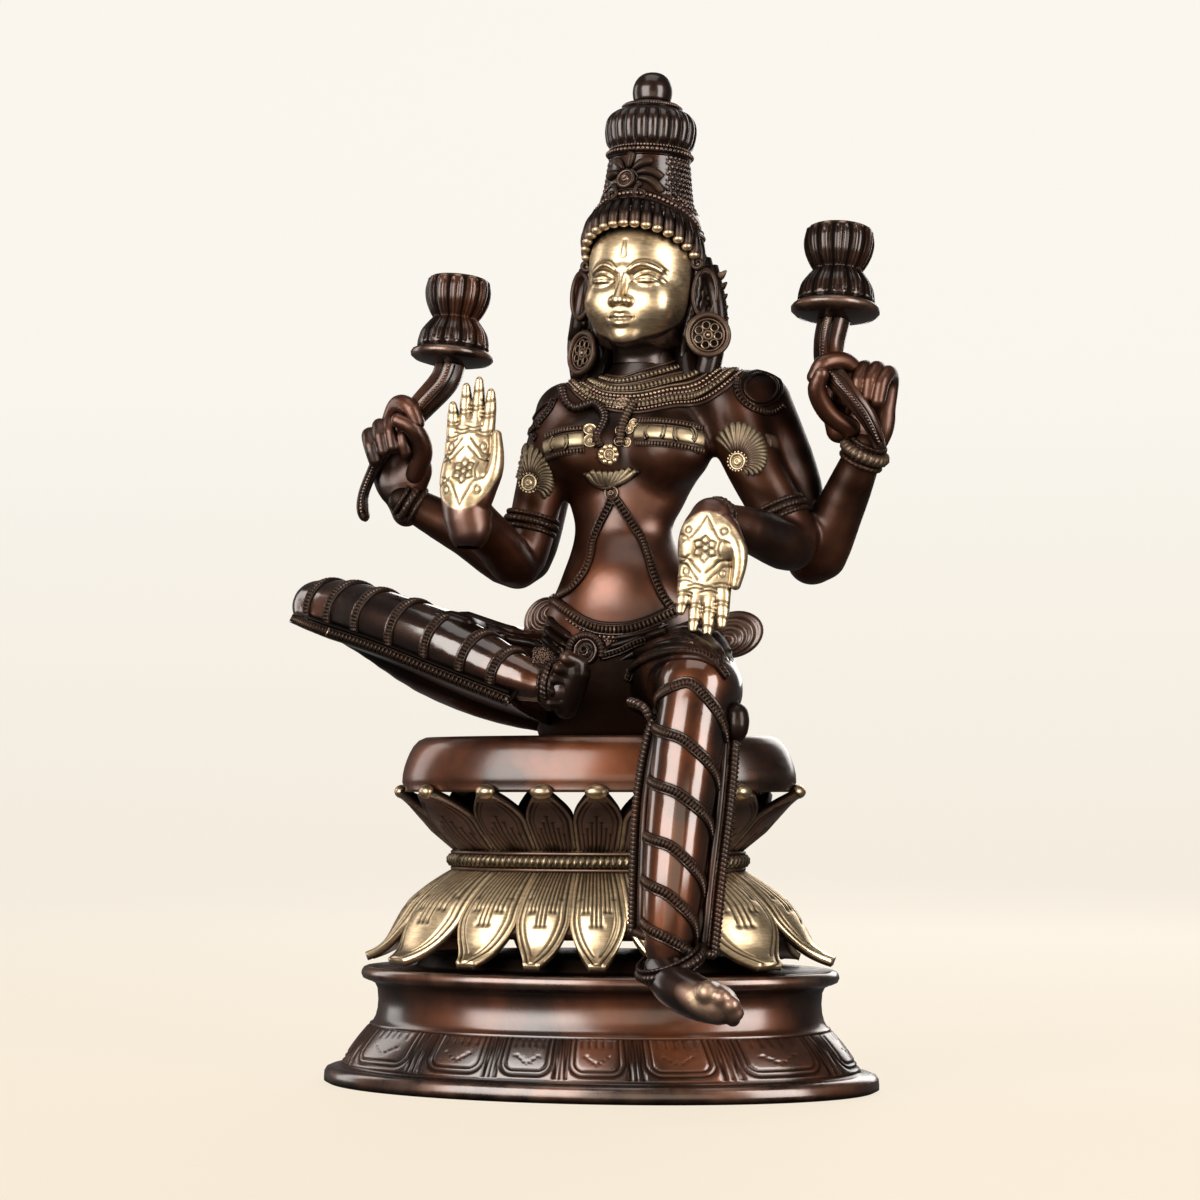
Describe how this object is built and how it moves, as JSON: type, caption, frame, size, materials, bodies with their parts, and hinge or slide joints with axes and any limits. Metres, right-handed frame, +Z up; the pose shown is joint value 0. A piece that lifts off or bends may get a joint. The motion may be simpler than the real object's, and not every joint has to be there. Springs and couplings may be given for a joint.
{
  "type": "seated lakshmi figure",
  "caption": "Cast brass seated goddess with lotus buds in her rear hands, on an oval double-lotus seat and a moulded plinth.",
  "frame": {"origin": "centre of the plinth's flat underside", "axes": "+Z up, the figure faces -Y, +X towards the figure's left hand"},
  "size_m": [0.2744, 0.2122, 0.4573],
  "materials": {
    "figure_bronze": "dark brown patina, polished brass on the face, hands and jewellery",
    "lotus_bronze": "brushed brass petals under a dark brown seat",
    "plinth_bronze": "dark red-brown patina, satin"
  },
  "bodies": {
    "root": {"figure": "figure_bronze", "lotus_seat": "lotus_bronze", "plinth": "plinth_bronze"}
  },
  "joints": []
}
